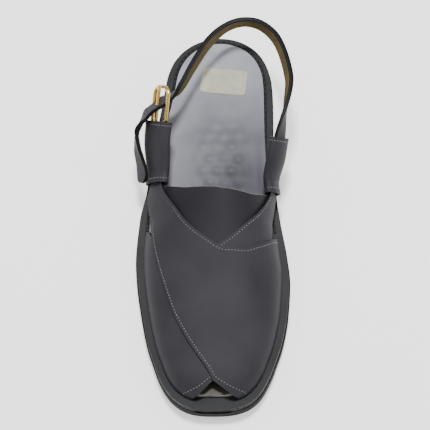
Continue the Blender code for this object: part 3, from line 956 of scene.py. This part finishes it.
# name, panel, lift, rear or front edge, where the row starts and ends
seams = (
    ("overRearStitches", overPanel, overFlush, 0, 0.09, 0.985),
    ("overFrontStitches", overPanel, overFlush, 1, 0.11, 0.985),
    ("underRearStitches", underPanel, underLift, 0, 0.09, 0.50),
    ("underFrontStitches", underPanel, underLift, 1, 0.80, 0.985),
)
for name, panel, liftAt, edge, start, end in seams:
    path = seamPath(panel, liftAt, edge, start, end)
    stitchRow(name, path, panelSeam, paleThread)
print("panels stitched")


def tongueSpot(lift):
    return lambda across, along: panelPoint(tonguePanel, along, across, lift)


tongueLeather = 1.0 * mm
tongue = addSheet("tongueLeather", 50, 90, tongueSpot(-sole["gap"]))
thicken(tongue, tongueLeather, -1)
roundEdges(tongue, 0.35 * mm)
dress(tongue, darkLeather, rawLeather)
settle(tongue, "tongue")
tongueLining = addSheet("tongueLining", 50, 90, tongueSpot(-sole["gap"] - tongueLeather))
thicken(tongueLining, 0.6 * mm, -1)
dress(tongueLining, rawLeather)
settle(tongueLining)


# Sleeves, back strap and buckle


def makeRoute(centres, broads):
    # shares of the way, its points, the directions across it and its length
    lengths = [0.0]
    for before, after in zip(centres, centres[1:]):
        lengths.append(lengths[-1] + (after - before).length)
    return [length / lengths[-1] for length in lengths], centres, broads, lengths[-1]


def bandFrame(route, along):
    # a band's middle, and its directions ahead, across and out
    places, centres, broads, length = route
    step = 0.5 * mm / length
    ahead = follow(places, centres, along + step) - follow(places, centres, along - step)
    ahead.normalize()
    broad = follow(places, broads, along)
    broad = (broad - ahead * broad.dot(ahead)).normalized()
    return follow(places, centres, along), ahead, broad, ahead.cross(broad)


def sleeveSize(halfBand, halfThick):
    # half the width and half the depth of a sleeve that a band goes through
    innerHalf = halfBand + fittings["sleeveRoom"]
    innerDepth = (halfThick + sole["gap"]) / math.sqrt(1 - (halfBand / innerHalf) ** 2)
    return innerHalf + fittings["sleeveWall"], innerDepth + fittings["sleeveWall"]


def sleeveRoute(side, panel, lift, table, lean):
    middle = lift + wall / 2
    mouth = panelPoint(panel, fittings["wingIn"], 0.5, middle)
    upperEdge = panelPoint(panel, fittings["wingIn"], 0.0, middle)
    lowerEdge = panelPoint(panel, fittings["wingIn"], 1.0, middle)
    mouthBroad = (upperEdge - lowerEdge).normalized()
    topBroad = Vector((-side * math.sin(lean), 0, math.cos(lean)))
    centres = [mouth, panelPoint(panel, 0.0, 0.5, middle)]
    broads = [mouthBroad, mouthBroad]
    for inward, back, up, turned in table:
        centres.append(mouth + Vector((-side * inward, back, up)) * fittings["sleeve"])
        broads.append(mouthBroad.lerp(topBroad, turned))
    if side < 0:
        centres.reverse()
        broads.reverse()
    return makeRoute(centres, broads), (upperEdge - lowerEdge).length / 2


lateralRoute, lateralWing = sleeveRoute(-1, overPanel, overLift(0), lateralSleeve, fittings["lean"])
medialRoute, medialWing = sleeveRoute(1, underPanel, 0.0, medialSleeve, fittings["medialLean"])
lateralTop = (frameHalf + fittings["sleeveRoom"] + fittings["sleeveWall"], eyeDepth + fittings["sleeveWall"])
medialTop = sleeveSize(fittings["strapWidth"] / 2, fittings["strap"] / 2 + fittings["strapRoom"])
lateralMouth = sleeveSize(lateralWing, wall / 2 + fittings["wingRoom"])
medialMouth = sleeveSize(medialWing, wall / 2 + fittings["wingRoom"])
lateralSections = ((0, *lateralTop), (1, *lateralMouth))
medialSections = ((0, *medialMouth), (1, *medialTop))


def sleevePoint(route, sections, around, along, proud=0.0):
    middle, ahead, broad, outward = bandFrame(route, along)
    half = level(sections, 1, along) + proud
    depth = level(sections, 2, along) + proud
    angle = 2 * math.pi * around
    return middle + broad * (half * math.cos(angle)) + outward * (depth * math.sin(angle))


def makeSleeve(name, route, sections):
    sleeve = addSheet(name, 96, 60, lambda around, along: sleevePoint(route, sections, around, along))
    thicken(sleeve, fittings["sleeveWall"], -1, even=False)
    dress(sleeve, greyLeather, edgePaint)
    applyModifiers(sleeve)
    return sleeve


def sleeveSeam(name, route, sections, atEnd):
    # stitches round a sleeve's hem, at the start or the end of its route
    hem = panelSeam["hem"] / route[3]
    along = 1 - hem if atEnd else hem
    middle = bandFrame(route, along)[0]
    path = []
    for step in range(121):
        point = sleevePoint(route, sections, step / 120, along, panelSeam["proud"])
        path.append((point, (point - middle).normalized()))
    stitchRow(name, path, panelSeam, paleThread, panelSeam["pitch"])


lateral = makeSleeve("lateralSleeveLeather", lateralRoute, lateralSections)
medial = makeSleeve("medialSleeveLeather", medialRoute, medialSections)

seat, ahead, broad, outward = bandFrame(lateralRoute, fittings["seat"] / lateralRoute[3])
back = -ahead
far = fittings["frameLength"] - fittings["wire"]


def addWire(name, points, radii, thickness, closed, roundness):
    # a round wire through points, made a mesh with welded caps
    curve = bpy.data.curves.new(name, "CURVE")
    curve.dimensions = "3D"
    curve.bevel_depth = thickness / 2
    curve.bevel_resolution = roundness
    curve.use_fill_caps = not closed
    spline = curve.splines.new("POLY")
    spline.points.add(len(points) - 1)
    for knot, point, radius in zip(spline.points, points, radii):
        knot.co = (*point, 1)
        knot.radius = radius
    spline.use_cyclic_u = closed
    wire = bpy.data.objects.new(name, curve)
    bpy.context.collection.objects.link(wire)
    pick(wire)
    bpy.ops.object.convert(target="MESH")
    editAll(wire, lambda: bpy.ops.mesh.remove_doubles(threshold=0.01 * mm))
    return wire


straight = frameHalf - fittings["wire"] / 2 - fittings["corner"]
# reach, across, start angle of each corner's quarter turn
cornerPoints = (
    (far - fittings["corner"], straight, 0),
    (fittings["corner"], straight, 90),
    (fittings["corner"], -straight, 180),
    (far - fittings["corner"], -straight, 270),
)
framePoints = []
for reach, across, startAngle in cornerPoints:
    for step in range(19):
        angle = math.radians(startAngle + 90 * step / 18)
        framePoints.append(seat + back * (reach + fittings["corner"] * math.cos(angle))
                           + broad * (across + fittings["corner"] * math.sin(angle)))
frameRadii = [1.0] * len(framePoints)
frameWire = addWire("buckleFrameWire", framePoints, frameRadii, fittings["wireSeen"], True, 7)
dress(frameWire, brass)
settle(frameWire, "buckle_frame", 60)

eye = fittings["wire"] / 2 + sole["gap"] + fittings["prong"] * fittings["eyeShare"] / 2
prongPoints = []
prongRadii = []
for step in range(31):
    angle = fittings["prongWrap"] * (step / 30 - 1)
    prongPoints.append(seat + back * (eye * math.sin(angle)) + outward * (eye * math.cos(angle)))
    prongRadii.append(fittings["eyeShare"])
for step in range(1, 21):
    part = fittings["prongEnd"] * step / 20
    risen = softStep(part, 0.0, fittings["prongRise"])
    lifted = eye + (prongRest - eye) * risen
    prongPoints.append(seat + back * (far * part) + outward * lifted)
    radius = fittings["eyeShare"] + (1 - fittings["eyeShare"]) * risen
    prongRadii.append(radius if part < 0.95 else fittings["prongTip"])
prong = addWire("bucklePin", prongPoints, prongRadii, fittings["prong"], False, 6)
dress(prong, brass)
settle(prong, "buckle_prong", 60)

# the slot in the lateral sleeve's rim that the pin comes out of
slotTurn = Matrix((broad, outward, back)).transposed().to_4x4()
deselectAll()
slotRadius = fittings["prong"] / 2 + fittings["slotRoom"]
bpy.ops.mesh.primitive_cylinder_add(vertices=32, radius=slotRadius, depth=2 * far)
slotCutter = bpy.context.object
slotMiddle = seat + back * far * fittings["prongEnd"] + outward * prongRest
slotCutter.data.transform(Matrix.Translation(slotMiddle) @ slotTurn)
notch = lateral.modifiers.new("notch", "BOOLEAN")
notch.operation = "DIFFERENCE"
notch.solver = "EXACT"
notch.object = slotCutter
applyModifiers(lateral)
bpy.data.objects.remove(slotCutter)
for sleeve, node in ((lateral, "lateral_sleeve"), (medial, "medial_sleeve")):
    roundEdges(sleeve, 0.5 * mm)
    settle(sleeve, node)
sleeveSeam("lateralTopStitches", lateralRoute, lateralSections, False)
sleeveSeam("lateralMouthStitches", lateralRoute, lateralSections, True)
sleeveSeam("medialTopStitches", medialRoute, medialSections, True)
sleeveSeam("medialMouthStitches", medialRoute, medialSections, False)
print("sleeves and buckle made")

strapPlaces = []
for share in (1 - fittings["strapSeat"] / medialRoute[3], 1.0):
    band = bandFrame(medialRoute, share)
    strapPlaces.append((band[0], band[2]))
for across, behind, high, degrees in strapArc:
    point = Vector((across * sole["heelWidth"], behind * sole["heelWidth"], high * upper["instep"]))
    inward = Vector((mm - point.x, -point.y, 0)).normalized()
    lean = math.radians(degrees)
    strapPlaces.append((point, inward * math.sin(lean) + Vector((0, 0, math.cos(lean)))))
upright = Vector((0, 0, 1))
flatOn = lateralSections[0][2] + fittings["strap"] / 2
for reach, out, down, stand in strapAtBuckle:
    point = seat + back * (reach * fittings["frameLength"]) + outward * (flatOn * out)
    point -= broad * (down * fittings["strapWidth"])
    strapPlaces.append((point, broad.lerp(upright, stand)))
for share, gap, down, stand in strapTail:
    middle, ahead, standing, outside = bandFrame(lateralRoute, share)
    out = level(lateralSections, 2, share) + fittings["strap"] / 2 + gap * fittings["strap"]
    point = middle + outside * out - standing * (down * fittings["strapWidth"])
    strapPlaces.append((point, standing.lerp(upright, stand)))
strapRoute = makeRoute([place[0] for place in strapPlaces], [place[1] for place in strapPlaces])


def strapSheet(name, low, thickness, trim):
    # a layer of the strap, from low to low plus thickness off its middle
    tipShare = fittings["strapTip"] / strapRoute[3]
    tipRows = 0.06

    def spot(across, along):
        # the round tip gets rows of its own
        if along < 1 - tipRows:
            reach = along / (1 - tipRows) * (1 - tipShare)
        else:
            reach = 1 - tipShare + tipShare * math.sin((along - 1 + tipRows) / tipRows * math.pi / 2)
        half = fittings["strapWidth"] / 2 * opened((1 - reach) / tipShare, 2.0) - trim
        middle, ahead, standing, outside = bandFrame(strapRoute, reach)
        return middle + standing * (max(half, 0.1 * mm) * (2 * across - 1)) + outside * low

    strap = addSheet(name, 8, 420, spot, flipped=True)
    thicken(strap, thickness, 1, even=False)
    return strap


strapLeather = strapSheet("strapLeather", -1.0 * mm, 2.5 * mm, 0.0)
roundEdges(strapLeather, 0.5 * mm)
dress(strapLeather, greyLeather, edgePaint)
settle(strapLeather, "back_strap")
strapLining = strapSheet("strapLining", -1.5 * mm, 0.55 * mm, 1.2 * mm)
roundEdges(strapLining, 0.3 * mm, 2)
dress(strapLining, liningLeather, edgePaint)
settle(strapLining)
print("strap made")

# the blank sticker on the insole
label = {
    "width": 33.8 * mm,
    "length": 21.2 * mm,
    "corner": 2.6 * mm,
    "x": 3.9 * mm,
    "y": -2.0 * mm,
    "turn": math.radians(-6),
    "thickness": 0.15 * mm,
    "raised": 0.08 * mm,
}
deselectAll()
bpy.ops.mesh.primitive_grid_add(x_subdivisions=24, y_subdivisions=16, size=1)
stickerPiece = bpy.context.object
stickerPiece.name = "insoleSticker"
for vertex in stickerPiece.data.vertices:
    x = vertex.co.x * label["width"]
    y = vertex.co.y * label["length"]
    overX = abs(x) - (label["width"] / 2 - label["corner"])
    overY = abs(y) - (label["length"] / 2 - label["corner"])
    if overX > 0 and overY > 0:
        reach = math.hypot(overX, overY)
        most = max(overX, overY)
        x = math.copysign(label["width"] / 2 - label["corner"] + overX * most / reach, x)
        y = math.copysign(label["length"] / 2 - label["corner"] + overY * most / reach, y)
    turned = Matrix.Rotation(label["turn"], 2) @ Vector((x, y))
    x = turned.x + label["x"]
    y = turned.y + label["y"]
    share = shareAt(y)
    padTop = underside(share) + insoleTop + padHeight(x, y, insoleInset(share))
    vertex.co = Vector((x, y, padTop + label["raised"]))
thicken(stickerPiece, label["thickness"], 1)
dress(stickerPiece, sticker)
settle(stickerPiece, angle=40)

# Floor, light and camera

deselectAll()
bpy.ops.mesh.primitive_plane_add(size=6, location=(0, 0, -0.0004))
floor = bpy.context.object
floor.name = "paleFloor"
floorPaint = newMaterial("palePaperFloor", {
    "Base Color": linear("#ffffff"),
    "Roughness": 0.9,
    "Emission Color": linear("#ffffff"),
    "Emission Strength": 0.7,
})[0]
floor.data.materials.append(floorPaint)

world = bpy.data.worlds.new("studioWorld")
bpy.context.scene.world = world
world.use_nodes = True
sky = world.node_tree.nodes["Background"]
sky.inputs["Color"].default_value = (1, 1, 1, 1)
sky.inputs["Strength"].default_value = 0.5


def addSoftbox(name, place, target, size, power):
    deselectAll()
    bpy.ops.object.light_add(type="AREA", location=place)
    lamp = bpy.context.object
    lamp.name = name
    lamp.data.shape = "RECTANGLE"
    lamp.data.size = size[0]
    lamp.data.size_y = size[1]
    lamp.data.energy = power
    lamp.rotation_euler = (Vector(target) - Vector(place)).to_track_quat("-Z", "Y").to_euler()


addSoftbox("softboxLeft", (-0.9, -0.1, 1.0), (0, -0.1, 0.03), (0.7, 1.0), 2)
addSoftbox("softboxRight", (0.95, -0.25, 0.9), (0, -0.1, 0.03), (0.6, 1.0), 2)
addSoftbox("softboxTop", (0.04, 0.12, 1.5), (0, -0.06, 0.03), (0.25, 0.25), 30)

# the photograph's camera, turned to put the one shoe in the middle
view = {
    "place": Vector((0.058259, -0.641771, 1.084163)),
    "tilt": math.radians(63.5),
    "pixelLens": 1643.566,
    "frame": 430,
    "aim": (133.5, 213.5),
    "sensor": 36,
}
right = Vector((1, 0, 0))
upward = Vector((0, math.sin(view["tilt"]), math.cos(view["tilt"])))
forward = Vector((0, math.cos(view["tilt"]), -math.sin(view["tilt"])))
half = view["frame"] / 2
aim = forward + right * ((view["aim"][0] - half) / view["pixelLens"])
aim += upward * ((half - view["aim"][1]) / view["pixelLens"])
aim.normalize()
right = (right - aim * right.dot(aim)).normalized()
upward = right.cross(aim)
bpy.ops.object.camera_add(location=view["place"])
camera = bpy.context.object
camera.name = "photoCamera"
turned = Matrix((right, upward, -aim)).transposed().to_4x4()
camera.matrix_world = Matrix.Translation(view["place"]) @ turned
camera.data.sensor_width = view["sensor"]
camera.data.lens = view["pixelLens"] / view["frame"] * view["sensor"]
camera.data.clip_end = 20
camera.data.dof.use_dof = False
bpy.context.scene.camera = camera
print("camera set")
